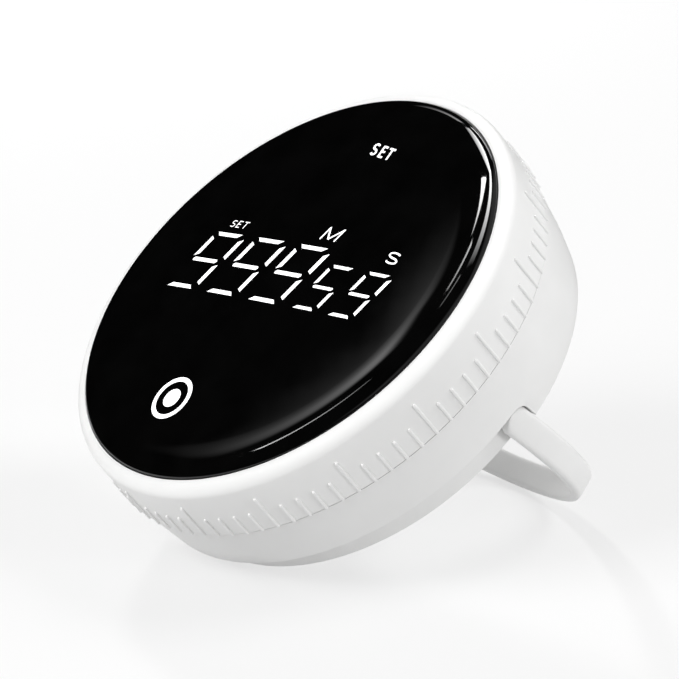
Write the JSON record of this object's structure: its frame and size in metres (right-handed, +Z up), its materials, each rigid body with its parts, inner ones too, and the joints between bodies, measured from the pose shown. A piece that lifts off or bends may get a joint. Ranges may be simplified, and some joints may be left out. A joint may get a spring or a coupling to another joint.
{
  "type": "digital kitchen timer",
  "caption": "Round digital kitchen timer with a turning white dial ring, a rocking black display face and a fold-out half-ring stand.",
  "frame": {"origin": "floor under the middle of the timer's box, as it stands on its rear rim and open stand loop", "axes": "+Z up, -Y the way the face looks (it leans back), +X to the right of someone reading the face"},
  "size_m": [0.0786, 0.0758, 0.0651],
  "materials": {
    "white_plastic": "satin moulded white",
    "black_gloss": "polished black dead-front window",
    "dark_plastic": "matte black",
    "grey_plastic": "matte grey",
    "ivory_plastic": "matte ivory",
    "board_green": "solder resist",
    "cell_jacket": "plain jacket",
    "plated_steel": "nickel plated",
    "brass": "bright spring brass",
    "lead_jacket": "wire jacket"
  },
  "bodies": {
    "case": {"rear_housing": "white_plastic", "battery_1": "cell_jacket", "battery_2": "cell_jacket", "battery_3": "cell_jacket", "contacts_left": "plated_steel", "contacts_right": "plated_steel", "magnets": "plated_steel", "buzzer": "dark_plastic", "buzzer_leads": "lead_jacket", "volume_switch": "dark_plastic", "switch_board": "board_green", "switch_leads": "lead_jacket", "mid_frame": "dark_plastic", "encoder_track": "board_green", "detent_spring": "plated_steel", "main_board": "board_green", "controller_chip": "dark_plastic", "board_parts": "ivory_plastic", "board_screws": "plated_steel", "display_block": "dark_plastic", "segment_lights": "ivory_plastic", "diffuser_film": "grey_plastic", "set_switch": "dark_plastic", "start_switch": "dark_plastic", "case_screws": "plated_steel"},
    "dial": {"dial_ring": "white_plastic", "encoder_wiper": "brass"},
    "face": {"lens": "black_gloss", "lens_carrier": "dark_plastic"},
    "set_key": {"set_plunger": "ivory_plastic"},
    "start_key": {"start_plunger": "ivory_plastic"},
    "stand": {"stand_loop": "white_plastic"},
    "door": {"battery_door": "white_plastic"},
    "volume": {"volume_slider": "grey_plastic"}
  },
  "joints": [
    {"name": "dial_turn", "type": "hinge", "parent": "case", "child": "dial", "pos_m": [0, -0.00258, 0.03294], "axis": [0, -0.6505, 0.7595], "continuous": true},
    {"name": "face_rock", "type": "hinge", "parent": "case", "child": "face", "pos_m": [0, -0.00688, 0.03796], "axis": [1, 0, 0], "range_deg": [-0.7, 0.7], "stiffness_Nm_per_rad": 0.2},
    {"name": "set_press", "type": "slide", "parent": "case", "child": "set_key", "axis": [0, -0.6505, 0.7595], "range_m": [-0.0003, 0.0003]},
    {"name": "start_press", "type": "slide", "parent": "case", "child": "start_key", "axis": [0, -0.6505, 0.7595], "range_m": [-0.0003, 0.0003]},
    {"name": "stand_hinge", "type": "hinge", "parent": "case", "child": "stand", "pos_m": [0, 0.00608, 0.02575], "axis": [1, 0, 0], "range_deg": [-101.2, 0]},
    {"name": "door_off", "type": "slide", "parent": "case", "child": "door", "axis": [0, 0.6505, -0.7595], "range_m": [0, 0.012]},
    {"name": "volume_slide", "type": "slide", "parent": "case", "child": "volume", "axis": [1, 0, 0], "range_m": [-0.002, 0.002]}
  ],
  "couplings": [
    {"joint": "set_press", "follows": "face_rock", "m_per_rad": 0.0245},
    {"joint": "start_press", "follows": "face_rock", "m_per_rad": -0.0245}
  ]
}
